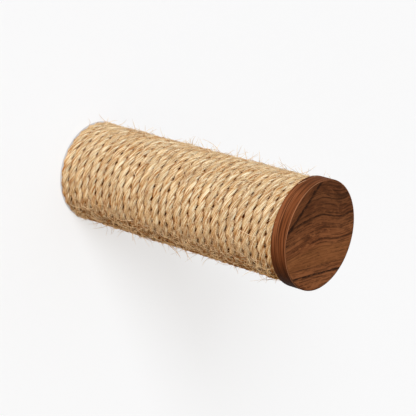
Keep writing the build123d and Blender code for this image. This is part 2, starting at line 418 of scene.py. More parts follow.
def stretch(tree, vector, scale, location=(0, 0, 0), rotation=(0, 0, 0)):
    """Moves, turns and scales coordinates."""
    made = node(
        tree, "ShaderNodeMapping",
        {"Vector": vector, "Location": location, "Rotation": rotation, "Scale": scale},
    )
    return made.outputs[0]


def noise(tree, vector, scale, detail, roughness=0.5, location=(0, 0, 0)):
    """Noise from 0 to 1. Its scale is one number, or one for each axis."""
    if isinstance(scale, tuple):
        vector = stretch(tree, vector, scale, location)
        scale = 1.0
    made = node(
        tree, "ShaderNodeTexNoise",
        {"Vector": vector, "Scale": scale, "Detail": detail, "Roughness": roughness},
    )
    return made.outputs["Fac"]


def bump(tree, height, distance, strength=1.0):
    """Surface normal from a height."""
    made = node(
        tree, "ShaderNodeBump", {"Height": height, "Distance": distance, "Strength": strength},
    )
    return made.outputs[0]


def split(tree, vector):
    """The three parts of a vector."""
    return tuple(node(tree, "ShaderNodeSeparateXYZ", {0: vector}).outputs)


def join(tree, *parts):
    """A vector from its three parts."""
    return node(tree, "ShaderNodeCombineXYZ", dict(enumerate(parts))).outputs[0]


def from_axis(tree, place, location=(0, 0, 0)):
    """Distance from a line along Y, once the coordinates are moved."""
    flat = stretch(tree, place, (1, 0, 1), location)
    return node(tree, "ShaderNodeVectorMath", {0: flat}, operation="LENGTH").outputs["Value"]


def attribute(tree, name):
    """A number that the mesh stores for each vertex."""
    return node(tree, "ShaderNodeAttribute", attribute_name=name).outputs["Fac"]


def seen(tree):
    """1 for what the camera sees, also by way of a glossy or clear surface."""
    path = node(tree, "ShaderNodeLightPath").outputs
    direct = maths(tree, "MAXIMUM", path["Is Camera Ray"], path["Is Glossy Ray"])
    return maths(tree, "MAXIMUM", direct, path["Is Transmission Ray"])


def new_material(name):
    """An empty node material and its tree, shader and object coordinates."""
    material = bpy.data.materials.new(name)
    material.use_nodes = True
    tree = material.node_tree
    shader = tree.nodes["Principled BSDF"]
    place = node(tree, "ShaderNodeTexCoord").outputs["Object"]
    return material, tree, shader, place


def finish_node(name, material):
    """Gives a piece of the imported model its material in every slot."""
    mesh = frame["nodes"][name].data
    mesh.materials.clear()
    mesh.materials.append(material)
    mesh.polygons.foreach_set("material_index", [0] * len(mesh.polygons))


def sisal_material(rope):
    """Twisted sisal: fibres along each strand and pale streaks, with brown painted shade in the
    grooves and dark painted shade in the slits and underneath.
    """
    material, tree, shader, place = new_material("sisal_rope")
    along, around, _ = split(tree, node(tree, "ShaderNodeUVMap", uv_map="strand").outputs[0])
    depth = attribute(tree, "height")
    crest = attribute(tree, "crest")
    slanted = maths(tree, "MULTIPLY_ADD", along, 0.40, around)
    fibre_place = join(tree, along, slanted, attribute(tree, "tone"))
    fine = noise(tree, fibre_place, (130, 2600, 40), 2.0, 0.6)
    yarn = noise(tree, fibre_place, (70, 1250, 17), 1.0)
    patch = noise(tree, fibre_place, (30, 170, 9), 1.0)
    fibres = total(tree, product(tree, fine, 0.42), product(tree, yarn, 0.58))
    base = mix(tree, ramp(tree, fibres, 0.505, 0.570), rope.body, rope.pale)
    base = layers(tree, base, rope.brown, (
        ramp(tree, fibres, 0.475, 0.410, 0.0, 0.90),
        # Painted shade: brown laid into the strand grooves and into the hollows between turns.
        ramp(tree, crest, 0.90, 0.78, 0.0, 0.15),
        ramp(tree, depth, 0.84, 0.48, 0.0, 0.85),
    ))
    # Painted shade: near-black laid into the slits where the grooves of two turns meet.
    slit_shade = product(tree, ramp(tree, crest, 0.95, 0.85), ramp(tree, depth, 0.71, 0.54))
    # Painted shade: the low parts of the rope darken towards its underside.
    below = ramp(tree, split(tree, place)[2], -0.006, -0.046)
    matting_and_underside_shade = product(tree, below, ramp(tree, crest, 1.00, 0.86, 0.35, 0.95))
    base = layers(tree, base, rope.shade, (slit_shade, matting_and_underside_shade))
    value = ramp(tree, patch, 0.25, 0.75, 0.90, 1.08, smooth=False)
    drift = node(tree, "ShaderNodeHueSaturation", {"Color": base, "Value": value})
    feed(tree, shader, {
        "Base Color": drift.outputs[0],
        "Roughness": ramp(tree, fibres, 0.3, 0.7, 0.85, 0.68),
        "Normal": bump(tree, fibres, 0.0009),
        "Specular IOR Level": 0.0,
    })
    return material


def fibre_material(fibres):
    """Single loose fibres, each with its own tone."""
    material, tree, shader, place = new_material("loose_fibre")
    speck = noise(tree, place, 260.0, 1.0)
    paleness = maths(tree, "SUBTRACT", attribute(tree, "tone"), 0.25)
    shaded = total(tree, product(tree, speck, 0.5), paleness)
    feed(tree, shader, {
        "Base Color": mix(tree, shaded, fibres.dark, fibres.pale),
        "Roughness": 0.6,
        "Specular IOR Level": 0.10,
    })
    return material


def grain_levels(tree, wood, board):
    """Height on the disc measured along its bent grain: smooth, and with a fine wobble."""
    right, _, up = split(tree, board)
    wave = noise(tree, board, (14, 30, 26), 2.0)
    ripple = noise(tree, board, (90, 150, 120), 2.0)
    upper = ramp(tree, up, -0.026, -0.004)
    step = ramp(tree, right, -0.004, 0.038, 0.0, wood.vein_drop)
    left = ramp(tree, right, -0.056, -0.020, 0.004, 0.0)
    high_drop = product(tree, total(tree, step, left), upper)
    slope = product(tree, total(tree, right, 0.009), 0.14)
    low_drop = product(tree, slope, maths(tree, "SUBTRACT", 1.0, upper))
    level = total(tree, high_drop, low_drop, up, sway(tree, wave, 0.004))
    return level, total(tree, level, sway(tree, ripple, 0.0024))


def vein_amount(tree, vein, right, level, speck):
    """How dark one vein is: sharp on its upper side, soft below, and broken by specks."""
    return product(
        tree,
        ramp(tree, level, vein.height + vein.width, vein.height),
        ramp(tree, level, vein.height - 2.5 * vein.width, vein.height),
        vein.strength,
        ramp(tree, speck, 0.30, 0.55, 0.5, 1.2),
        ramp(tree, right, vein.faded, vein.full),
    )


def walnut_material(wood):
    """Oiled walnut: veins that drop to the right, pores, and a turned edge with fine lines."""
    material, tree, shader, place = new_material("walnut_board")
    centre = (cap_low + cap_high) / 2
    board = stretch(tree, place, (1, 1, 1), location=tuple(-centre))
    right, deep, _ = split(tree, board)
    level, crisp = grain_levels(tree, wood, board)
    grain = join(tree, right, deep, level)
    fibre = noise(tree, grain, (30, 520, 760), 3.0, 0.62)
    mottle = noise(tree, grain, (130, 200, 330), 2.0, 0.6)
    pores = noise(tree, grain, (110, 1500, 1500), 1.0)
    cloud = noise(tree, grain, (18, 60, 80), 2.0, location=(3, 1, 2))
    speck = noise(tree, grain, (220, 300, 420), 2.0, 0.6)
    base = mix(tree, ramp(tree, cloud, 0.34, 0.72), wood.walnut_body, wood.walnut_light)
    base = layers(tree, base, wood.walnut_dark, (
        ramp(tree, fibre, 0.55, 0.36, 0.0, 0.66),
        ramp(tree, mottle, 0.46, 0.32, 0.0, 0.40),
    ))
    base = mix(tree, ramp(tree, mottle, 0.54, 0.68, 0.0, 0.85), base, wood.walnut_light)
    warm = ramp(tree, level, -0.036, -0.026, 0.0, 0.45)
    warm = product(tree, ramp(tree, level, -0.004, -0.014), warm)
    base = mix(tree, warm, base, wood.walnut_warm)
    base = layers(tree, base, wood.walnut_dark, (
        ramp(tree, level, -0.006, 0.038, 0.0, 0.45),
        *(vein_amount(tree, vein, right, crisp, speck) for vein in VEINS),
    ))
    base = knot_side(tree, wood, board, speck, base)
    base = mix(tree, ramp(tree, pores, 0.38, 0.26, 0.0, 0.75), base, wood.walnut_dark)
    relief = total(tree, fibre, ramp(tree, pores, 0.24, 0.36, 0.0, 0.6))
    feed(tree, shader, {
        "Base Color": turned_edge(tree, wood, board, base),
        "Roughness": ramp(tree, fibre, 0.3, 0.7, 0.66, 0.52),
        "Normal": bump(tree, relief, 0.00012, 0.6),
        "Specular IOR Level": 0.02,
    })
    return material


def knot_side(tree, wood, board, speck, base):
    """Paler wood at the upper left, its grain along a speckled dark border."""
    right, deep, up = split(tree, board)
    tilt_up, tilt_right = 0.793, 0.609
    across = maths(
        tree, "SUBTRACT", product(tree, up, tilt_up), product(tree, right, tilt_right),
    )
    along = total(tree, product(tree, up, tilt_right), product(tree, right, tilt_up))
    place = join(tree, along, deep, across)
    uneven = noise(tree, place, (120, 120, 120), 2.0, 0.6)
    across = total(tree, across, sway(tree, uneven, 0.005))
    fibre = noise(tree, place, (40, 300, 700), 3.0, 0.6)
    streaks = ramp(tree, fibre, 0.56, 0.40, 0.05, 0.80)
    beyond = mix(tree, streaks, wood.walnut_body, wood.walnut_dark)
    border = wood.knot_border
    base = mix(tree, ramp(tree, across, border, border + 0.0012, 0.0, 0.55), base, beyond)
    line = product(
        tree,
        ramp(tree, across, border - 0.0040, border - 0.0008),
        ramp(tree, across, border + 0.0016, border + 0.0006),
        ramp(tree, speck, 0.36, 0.52, 0.45, 1.0),
    )
    return mix(tree, line, base, wood.walnut_dark)


def turned_edge(tree, wood, board, face):
    """Colour of the disc with its turned edge: lines round it, a painted sheen tint, painted shade
    low on the edge and at its top, and a front corner paler from wear and a painted highlight.
    """
    _, deep, up = split(tree, board)
    reach = from_axis(tree, board)
    rim = (cap_high.x - cap_low.x) / 2
    half = (cap_high.y - cap_low.y) / 2
    slanted = stretch(tree, board, (1, 1, 1), rotation=(0.05, 0, 0.04))
    lines = noise(tree, slanted, (16, 800, 16), 2.0, 0.6)
    broad = noise(tree, slanted, (14, 260, 14), 2.0, location=(5, 2, 7))
    # The edge colour carries a painted sheen tint as well as the wood's own edge colour.
    edge = mix(tree, ramp(tree, broad, 0.35, 0.65), wood.walnut_body, wood.walnut_edge_and_sheen)
    edge = layers(tree, edge, wood.walnut_dark, (
        ramp(tree, lines, 0.50, 0.40, 0.0, 0.75),
        # Painted shade: the edge darkens towards the bottom of the disc, and a little at its very
        # top.
        ramp(tree, up, 0.020, -0.045, 0.0, 0.92),
        ramp(tree, up, 0.046, 0.056, 0.0, 0.36),
    ))
    skin = ramp(tree, reach, rim - wood.edge_skin, rim - 0.6 * wood.edge_skin)
    base = mix(tree, skin, face, edge)
    corner = maths(tree, "SUBTRACT", maths(tree, "SUBTRACT", reach, rim), deep)
    # Paler front corner: rubbed wear and a painted highlight along the rounded front edge.
    rubbed_and_highlight = ramp(tree, corner, half - 0.0007, half - 0.0004, 0.0, 0.50)
    return mix(tree, rubbed_and_highlight, base, wood.walnut_wear_and_highlight)


def pine_material(wood):
    """Turned pine with its growth rings round an off-centre pith."""
    material, tree, shader, place = new_material("turned_pine")
    wobble = noise(tree, place, (22, 3, 22), 2.0)
    reach = from_axis(tree, place, tuple(-Vector(wood.pine_pith)))
    reach = total(tree, reach, product(tree, wobble, 0.006))
    phase = maths(tree, "FRACT", maths(tree, "DIVIDE", reach, wood.pine_ring))
    late = product(tree, ramp(tree, phase, 0.25, 0.92), ramp(tree, phase, 1.0, 0.94))
    pores = noise(tree, place, (1400, 60, 1400), 2.0)
    feed(tree, shader, {
        "Base Color": layers(
            tree, wood.pine_early, wood.pine_late,
            (late, ramp(tree, pores, 0.5, 0.3, 0.0, 0.35)),
        ),
        "Normal": bump(tree, pores, 0.0001, 0.6),
        "Roughness": 0.72,
    })
    return material


def beech_material(wood):
    """Beech with its short flecks, grain along the dowels."""
    material, tree, shader, place = new_material("beech_dowel")
    flecks = noise(tree, place, (1500, 260, 1500), 1.0)
    fibre = noise(tree, place, (600, 30, 600), 2.0)
    feed(tree, shader, {
        "Base Color": layers(
            tree, wood.beech_body, wood.beech_fleck,
            (ramp(tree, flecks, 0.42, 0.28), ramp(tree, fibre, 0.5, 0.25, 0.0, 0.4)),
        ),
        "Normal": bump(tree, fibre, 0.0001, 0.5),
        "Roughness": 0.65,
    })
    return material


def plated_material(name, bright, dull, roughness):
    """Bright plated or turned metal with fine tool marks and slight clouding."""
    material, tree, shader, place = new_material(name)
    cloud = noise(tree, place, 90.0, 3.0)
    marks = noise(tree, place, (400, 2600, 400), 1.0)
    feed(tree, shader, {
        "Base Color": mix(tree, ramp(tree, cloud, 0.4, 0.75, 0.0, 0.6), bright, dull),
        "Roughness": ramp(tree, cloud, 0.3, 0.7, roughness, roughness + 0.14),
        "Normal": bump(tree, marks, 0.00002, 0.5),
        "Metallic": 1.0,
    })
    return material


def coat_material(metal):
    """Black powder coat with its orange peel."""
    material, tree, shader, place = new_material("powder_coat")
    peel = noise(tree, place, 1.0 / metal.coat_grain, 1.0)
    dust = noise(tree, place, 55.0, 4.0)
    feed(tree, shader, {
        "Base Color": mix(tree, ramp(tree, dust, 0.5, 0.8), metal.coat, metal.coat_dust),
        "Roughness": ramp(tree, dust, 0.3, 0.8, 0.42, 0.58),
        "Normal": bump(tree, peel, 0.00006, 0.6),
    })
    return material


def wall_material(stage):
    """White wall that keeps the shadow, bounces light, and can't be seen from behind."""
    material, tree, shader, place = new_material("white_wall")
    tree.nodes.remove(shader)
    dimmed = ramp(
        tree, from_axis(tree, place),
        WOUND_RADIUS + stage.contact_start, WOUND_RADIUS + stage.contact_end,
        stage.contact_shine * stage.wall_shine, stage.wall_shine,
    )
    shine = node(tree, "ShaderNodeEmission", {"Strength": dimmed})
    shadowed = node(tree, "ShaderNodeBsdfDiffuse", {"Color": paint(stage.wall_share)})
    shown = node(tree, "ShaderNodeAddShader", {0: shine.outputs[0], 1: shadowed.outputs[0]})
    plaster = node(tree, "ShaderNodeBsdfDiffuse", {"Color": paint(stage.bounce)})
    front = node(
        tree, "ShaderNodeMixShader", {0: seen(tree), 1: plaster.outputs[0], 2: shown.outputs[0]},
    )
    clear = node(tree, "ShaderNodeBsdfTransparent")
    rear = node(tree, "ShaderNodeNewGeometry").outputs["Backfacing"]
    both = node(tree, "ShaderNodeMixShader", {0: rear, 1: front.outputs[0], 2: clear.outputs[0]})
    feed(tree, tree.nodes["Material Output"], {"Surface": both.outputs[0]})
    return material


def new_piece(name, vertices, faces, material):
    """A smooth-shaded mesh piece that rides on the peg and is finished as its rope is."""
    mesh = bpy.data.meshes.new(name)
    mesh.from_pydata(vertices, [], faces)
    mesh.polygons.foreach_set("use_smooth", [True] * len(mesh.polygons))
    mesh.materials.append(material)
    piece = bpy.data.objects.new(name, mesh)
    bpy.context.scene.collection.objects.link(piece)
    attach(piece, BODY)
    return piece


def set_attribute(mesh, name, values):
    """Stores one number for each vertex."""
    stored = mesh.attributes.new(name, "FLOAT", "POINT")
    stored.data.foreach_set("value", np.asarray(values, np.float32))


def tube_faces(rings, sides, first=0):
    """Faces of a closed tube, numbered ring by ring from its first vertex."""
    grid = first + np.arange(rings * sides).reshape(rings, sides)
    beside = np.roll(grid, -1, axis=1)
    quads = np.stack([grid[:-1], beside[:-1], beside[1:], grid[1:]], axis=-1).reshape(-1, 4)
    ends = [grid[0, ::-1].tolist(), grid[-1].tolist()]
    return quads.tolist() + ends


def unit(vectors):
    """Vectors of length one."""
    return vectors / np.linalg.norm(vectors, axis=-1, keepdims=True)


def length_gone(points):
    """Length along a line of points, from the first one to each."""
    return np.concatenate([[0], np.cumsum(np.linalg.norm(np.diff(points, axis=0), axis=1))])


def on_post(turned, radius, depth):
    """Points round the post: angle 0 points along +X, a quarter turn straight up."""
    turned, radius, depth = np.broadcast_arrays(turned, radius, depth)
    return np.stack([radius * np.cos(turned), -depth, radius * np.sin(turned)], axis=-1)


def slow_drift(waves, distance, number=0):
    """A smooth uneven number from about -1 to 1 along a distance."""
    rng = random.Random(waves.seed + number)
    levels = [np.sin(FULL_TURN * (distance / length + rng.random())) for length in waves.lengths]
    return sum(levels) / len(levels)


def tail(rope, turned, radius, depth, way, step):
    """Points of a rope end from its turn to its stop. It bends into the post and runs straight."""
    leaves = on_post(turned, radius, depth)
    ahead = np.array([-math.sin(turned), 0, math.cos(turned)]) * way
    inward = -on_post(turned, 1.0, 0.0)
    bent = np.arange(step / rope.tail_bend, rope.tail_turn, step / rope.tail_bend)[:, None]
    arc = leaves + rope.tail_bend * (ahead * np.sin(bent) + inward * (1 - np.cos(bent)))
    course = ahead * math.cos(rope.tail_turn) + inward * math.sin(rope.tail_turn)
    run = np.arange(step, rope.tail_straight, step)[:, None]
    return np.concatenate([arc, arc[-1] + course * run])


def first_depth(rope):
    """Depth of the first turn's centre line in front of the wall."""
    return rope.end_gap + rope.diameter / 2


def turn_pitch(rope):
    """Distance from one turn to the next along the post."""
    return (POST_LENGTH - 2 * first_depth(rope)) / (rope.turns - 1)


def rope_centre(rope):
    """Points and directions of the rope's centre line, an even step apart, from wall to disc."""
    radius = WOUND_RADIUS - rope.diameter / 2
    first = first_depth(rope)
    start = rope.climb_start + rope.climb_sweep - FULL_TURN
    last = rope.climb_start + (rope.turns - 1) * FULL_TURN
    fine = rope.ring_step / 4
    turned = np.arange(start, last, fine / radius)
    whole, part = np.divmod(turned - start, FULL_TURN)
    flat = FULL_TURN - rope.climb_sweep
    eased = np.clip((part - flat) / rope.climb_sweep, 0, 1)
    eased = eased * eased * (3 - 2 * eased)
    winding = on_post(turned, radius, first + turn_pitch(rope) * (whole + eased))
    wall_tail = tail(rope, start, radius, first, -1, fine)
    cap_tail = tail(rope, last, radius, POST_LENGTH - first, 1, fine)
    rough = np.concatenate([wall_tail[::-1], winding, cap_tail])
    gone = length_gone(rough)
    along = np.linspace(0, gone[-1], round(gone[-1] / rope.ring_step) + 1)
    points = np.stack([np.interp(along, gone, rough[:, axis]) for axis in range(3)], axis=1)
    edge = np.minimum(along, along[-1] - along) - FULL_TURN * radius
    free = np.clip(edge / CALM_LENGTH, 0, 1)
    points[:, 1] += rope.wander * free * slow_drift(WANDER, along)
    return points, unit(np.gradient(points, axis=0)), along


def twisted_tube(rope, number, centre, outward, towards_wall, along):
    """A strand before it is pressed: its middle line, and rings of points round that."""
    offset = rope.diameter / 2 - rope.strand_radius
    spun = FULL_TURN * along / rope.lay
    drift = rope.lay_drift * FULL_TURN * DRIFT_LENGTH / rope.lay
    spun = spun + drift * slow_drift(LAY_DRIFT, along)
    spun = (spun + FULL_TURN * number / len(STRAND_NAMES))[:, None]
    away = np.cos(spun) * outward + np.sin(spun) * towards_wall
    middle = centre + offset * away
    ahead = unit(np.gradient(middle, axis=0))
    out = unit(away - np.sum(away * ahead, axis=1, keepdims=True) * ahead)
    side = np.cross(ahead, out)
    round_it = (np.arange(rope.sides) * FULL_TURN / rope.sides - math.pi)[None, :, None]
    swell = 1 + rope.strand_swell * slow_drift(SWELL, along, number)
    ring = np.cos(round_it) * out[:, None, :] + np.sin(round_it) * side[:, None, :]
    return middle, middle[:, None, :] + rope.strand_radius * swell[:, None, None] * ring


def press_flat(rope, rings, centre, outward, towards_wall, along):
    """Presses a strand into the rope's squarish section, sharper where a turn meets an end.

    Also gives each point's distance from the rope's centre line, as a share of the rope's
    radius, and how far it lies against the wall, from 0 to 1.
    """
    half = rope.diameter / 2
    from_centre = rings - centre[:, None, :]
    across = np.sum(from_centre * outward[:, None, :], axis=2)
    beside = np.sum(from_centre * towards_wall[:, None, :], axis=2)
    pitch = turn_pitch(rope)
    near_wall = np.clip(1 - (-centre[:, 1:2] - half) / pitch, 0, 1)
    near_disc = np.clip(1 - (POST_LENGTH + centre[:, 1:2] - half) / pitch, 0, 1)
    against_wall = near_wall * (beside > 0)
    against_disc = near_disc * (beside < 0)
    edge = np.minimum(along, along[-1] - along) - rope.tail_bend - rope.tail_straight
    pressed = np.clip(edge / PRESS_LENGTH, 0, 1)[:, None]
    sharper = (against_wall + against_disc) * (rope.end_squareness - rope.squareness)
    power = 2 + (rope.squareness - 2 + sharper) * pressed
    turned = np.arctan2(beside, across)
    grown = (np.abs(np.cos(turned)) ** power + np.abs(np.sin(turned)) ** power) ** (-1 / power)
    flare = near_wall * rope.end_flare * pressed
    planar = across[..., None] * outward[:, None, :] + beside[..., None] * towards_wall[:, None, :]
    points = rings + (grown[..., None] - 1) * planar + flare[..., None] * outward[:, None, :]
    return points, np.hypot(beside, across) / half, against_wall


def make_strand(rope, number, centre, course, along):
    """Vertices, faces, length gone at each ring, heights and crests of one strand.

    What faces the wall counts as high and as a crest, so it gets no painted shade.
    """
    towards_wall = unit(np.array([0.0, 1.0, 0.0]) - course[:, 1:2] * course)
    outward = np.cross(towards_wall, course)
    middle, rings = twisted_tube(rope, number, centre, outward, towards_wall, along)
    points, crests, bare = press_flat(rope, rings, centre, outward, towards_wall, along)
    reach = np.hypot(points[..., 0], points[..., 2])
    low = WOUND_RADIUS - rope.diameter / 2
    heights = np.clip((reach - low) / (rope.diameter / 2), 0, 1)
    return (
        points.reshape(-1, 3), tube_faces(len(along), rope.sides), length_gone(middle),
        np.maximum(heights, bare).ravel(), np.maximum(crests, bare).ravel(),
    )


def lay_coordinates(mesh, rope, gone):
    """Unwraps a strand: across the page along the strand, and up the page round it."""
    sides = rope.sides
    girth = FULL_TURN * rope.strand_radius
    layer = mesh.uv_layers.new(name="strand")
    corners_of_faces = np.zeros(len(mesh.loops), np.int64)
    mesh.loops.foreach_get("vertex_index", corners_of_faces)
    ring, column = np.divmod(corners_of_faces, sides)
    quad_corners = (len(gone) - 1) * sides * 4
    face_column = np.arange(quad_corners) // 4 % sides
    wraps = (face_column == sides - 1) & (column[:quad_corners] == 0)
    column[:quad_corners][wraps] = sides
    places = np.stack([gone[ring], column / sides * girth], axis=1)
    layer.data.foreach_set("uv", places.astype(np.float32).ravel())


class FibreMesh:
    """Collects thin tapered fibres into one mesh."""

    sides = 3
    taper = 0.75

    def __init__(self):
        self.vertices, self.faces, self.tones = [], [], []

    def add(self, points, radius, tone):
        """One fibre along its points, thinner towards its tip."""
        first = len(self.vertices)
        last = len(points) - 1
        for number, point in enumerate(points):
            ahead = (points[min(number + 1, last)] - points[max(number - 1, 0)]).normalized()
            side = ahead.orthogonal().normalized()
            other = ahead.cross(side)
            thick = radius * (1 - self.taper * (number / last) ** 2)
            for corner in range(self.sides):
                turned = FULL_TURN * corner / self.sides
                self.vertices.append(
                    point + thick * (math.cos(turned) * side + math.sin(turned) * other)
                )
        self.tones.extend([tone] * (len(points) * self.sides))
        self.faces.extend(tube_faces(len(points), self.sides, first))


def wound_surface():
    """The strands' meshes as one surface for rays."""
    vertices, polygons = [], []
    for name in STRAND_NAMES:
        mesh = bpy.data.objects[name].data
        first = len(vertices)
        vertices.extend(vertex.co.copy() for vertex in mesh.vertices)
        polygons.extend(
            tuple(first + corner for corner in face.vertices) for face in mesh.polygons
        )
    return BVHTree.FromPolygons(vertices, polygons)


def outer_radius(surface, turned, depth):
    """Radius at which a ray from outside meets the winding, or None."""
    outside = WOUND_RADIUS * 1.5
    away = Vector((math.cos(turned), 0, math.sin(turned)))
    place = surface.ray_cast(away * outside + Vector((0, -depth, 0)), -away)[0]
    return None if place is None else Vector((place.x, place.z)).length


def lying_fibre(surface, rng, fibres, low, high):
    """Points of a fibre that lies on the winding and bridges its small hollows."""
    turned = rng.uniform(0, FULL_TURN)
    if rng.random() < fibres.matting_and_underside_shade:
        turned = rng.gauss(MATTED_ANGLE, MATTED_SPREAD)
    depth = rng.uniform(low, high)
    under = min(1.0, max(0.0, UNDER_START - math.sin(turned)))
    heading = LYING_HEADING + rng.gauss(0, LYING_SPREAD + LYING_SPREAD_UNDER * under)
    bend = rng.gauss(0, LYING_BEND + LYING_BEND_UNDER * under)
    length = fibres.lying_length * rng.uniform(*LYING_LENGTHS) * (1 + LYING_LENGTH_UNDER * under)
    step = length / fibres.steps
    route = []
    for _ in range(fibres.steps + 1):
        held = min(max(depth, low), high)
        radius = outer_radius(surface, turned, held)
        if radius is None:
            return None
        route.append([turned, radius, held])
        turned += step * math.cos(heading) / WOUND_RADIUS
        depth += step * math.sin(heading)
        heading += bend * step
    lift = abs(rng.gauss(0, fibres.fluff))
    heights = [radius for turned, radius, held in route]
    for number in range(1, fibres.steps):
        bridge = (heights[number - 1] + heights[number + 1]) / 2
        route[number][1] = max(heights[number], bridge - LYING_SAG)
        route[number][1] += lift * math.sin(math.pi * number / fibres.steps)
    route[-1][1] += abs(rng.gauss(0, LYING_END_FLUFF * fibres.fluff))
    clear = fibres.radius * LYING_CLEARANCE
    return [
        Vector(((radius + clear) * math.cos(turned), -held, (radius + clear) * math.sin(turned)))
        for turned, radius, held in route
    ]


def standing_fibre(surface, rng, fibres, low, high):
    """Points of a fibre that leaves the winding and curls in the air."""
    turned = rng.uniform(0, FULL_TURN)
    depth = rng.uniform(low, high)
    radius = outer_radius(surface, turned, depth)
    if radius is None:
        return None
    away = Vector((math.cos(turned), 0, math.sin(turned)))
    round_it = Vector((-math.sin(turned), 0, math.cos(turned)))
    out_of_wall = Vector((0, -1, 0))
    heading = rng.gauss(*STRAY_HEADING)
    least, most = STRAY_LIFT_BOUNDS
    lift = min(most, abs(rng.gauss(*STRAY_LIFT)) + least)
    flat = round_it * math.cos(heading) + out_of_wall * math.sin(heading)
    if rng.random() < 0.5:
        flat = -flat
    course = flat * math.cos(lift) + away * math.sin(lift)
    swing = Vector([rng.gauss(0, 1) for axis in range(3)]) * STRAY_CURL
    step = fibres.standing_length * math.exp(rng.gauss(0, STRAY_LENGTH_SPREAD)) / fibres.steps
    point = away * (radius - STRAY_ROOT) + out_of_wall * depth
    points = [point.copy()]
    for _ in range(fibres.steps):
        point = point + course * step
        stands_off = Vector((point.x, point.z)).length - WOUND_RADIUS
        if stands_off > fibres.reach or not low < -point.y < POST_LENGTH + STRAY_PAST_POST:
            break
        points.append(point.copy())
        course = (course + swing * step).normalized()
    return points if len(points) > 2 else None


def fibre_finish(rng, fibres, points, stands):
    """Thickness and tone of a fibre."""
    thick = fibres.radius * rng.uniform(*FIBRE_THICKNESS)
    tone = rng.uniform(*FIBRE_TONE)
    if stands:
        # Paler tones for stray fibres: partly their own tone, partly painted light shining through
        # them.
        least, span = STRAY_TONE
        return thick * STRAY_THICKNESS, least + span * tone
    if not points or points[0].z >= MATTED_HEIGHT * WOUND_RADIUS:
        return thick, tone
    least, span = MATTED_PALE if tone > MATTED_PALE_FROM else (0.0, MATTED_DARK)
    return thick * fibres.thick_share, least + span * tone


class PERCH_OT_wind_rope(bpy.types.Operator):
    """Winds the three strands of the sisal rope on the post"""

    bl_idname = "perch.wind_rope"
    bl_label = "Wind Rope"

    def execute(self, context):
        rope = context.scene.perch_rope
        centre, course, along = rope_centre(rope)
        material = sisal_material(rope)
        for number, name in enumerate(STRAND_NAMES):
            vertices, faces, gone, heights, crests = make_strand(
                rope, number, centre, course, along,
            )
            piece = new_piece(name, vertices.tolist(), faces, material)
            lay_coordinates(piece.data, rope, gone)
            set_attribute(piece.data, "tone", [STRAND_TONE * number] * len(vertices))
            set_attribute(piece.data, "height", heights)
            set_attribute(piece.data, "crest", crests)
            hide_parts(ROPE_NODE)
        if not along[-1] > POST_LENGTH:
            raise RuntimeError("the rope is shorter than the post")
        print(f"rope {along[-1]:.3f} m long, {rope.turns} turns")
        return {"FINISHED"}


class PERCH_OT_tease_fibres(bpy.types.Operator):
    """Lays loose fibres on the rope and stands stray ones off it"""

    bl_idname = "perch.tease_fibres"
    bl_label = "Tease Fibres"

    def execute(self, context):
        fibres = context.scene.perch_fibres
        material = fibre_material(fibres)
        surface = wound_surface()
        kinds = (
            ("lying_fibres", fibres.lying, lying_fibre, 17),
            ("stray_fibres", fibres.standing, standing_fibre, 29),
        )
        for name, wanted, shape, seed in kinds:
            rng = random.Random(seed)
            made = FibreMesh()
            for _ in range(wanted):
                points = shape(surface, rng, fibres, WALL_MARGIN, POST_LENGTH - DISC_MARGIN)
                thick, tone = fibre_finish(rng, fibres, points, shape is standing_fibre)
                if points:
                    made.add(points, thick, tone)
            if not made.faces:
                raise RuntimeError(f"no {name} found the rope")
            piece = new_piece(name, made.vertices, made.faces, material)
            set_attribute(piece.data, "tone", made.tones)
        return {"FINISHED"}


class PERCH_OT_finish_disc(bpy.types.Operator):
    """Gives the disc its oiled walnut"""

    bl_idname = "perch.finish_disc"
    bl_label = "Finish Disc"

    def execute(self, context):
        finish_node("end_cap", walnut_material(context.scene.perch_wood))
        return {"FINISHED"}


class PERCH_OT_finish_post(bpy.types.Operator):
    """Gives the post its turned pine and the dowels their beech"""

    bl_idname = "perch.finish_post"
    bl_label = "Finish Post"

    def execute(self, context):
        wood = context.scene.perch_wood
        finish_node("post_core", pine_material(wood))
        finish_node("cap_dowels", beech_material(wood))
        return {"FINISHED"}


class PERCH_OT_finish_metal(bpy.types.Operator):
    """Gives the plate, the fasteners and the insert their finishes"""

    bl_idname = "perch.finish_metal"
    bl_label = "Finish Metal"

    def execute(self, context):
        metal = context.scene.perch_metal
        zinc = plated_material("zinc_plate", metal.zinc, metal.zinc_dull, metal.zinc_roughness)
        brass = plated_material(
            "turned_brass", metal.brass, metal.brass_dull, metal.brass_roughness,
        )
        for name in ("flange_bolt", "lock_nut", "lock_washer", "rope_end_screws"):
            finish_node(name, zinc)
        finish_node("threaded_insert", brass)
        finish_node("wall_flange", coat_material(metal))
        return {"FINISHED"}


def bearing(azimuth, rise):
    """A direction, from its angle from +Y towards +X and its angle above level."""
    level = math.cos(rise)
    return Vector((math.sin(azimuth) * level, math.cos(azimuth) * level, math.sin(rise)))


def stand(name, data, place, facing):
    """Stands a lamp or a camera at a place and points it along a direction."""
    made = bpy.data.objects.new(name, data)
    made.location = place
    made.rotation_mode = "QUATERNION"
    made.rotation_quaternion = facing.to_track_quat("-Z", "Y")
    bpy.context.scene.collection.objects.link(made)
    return made


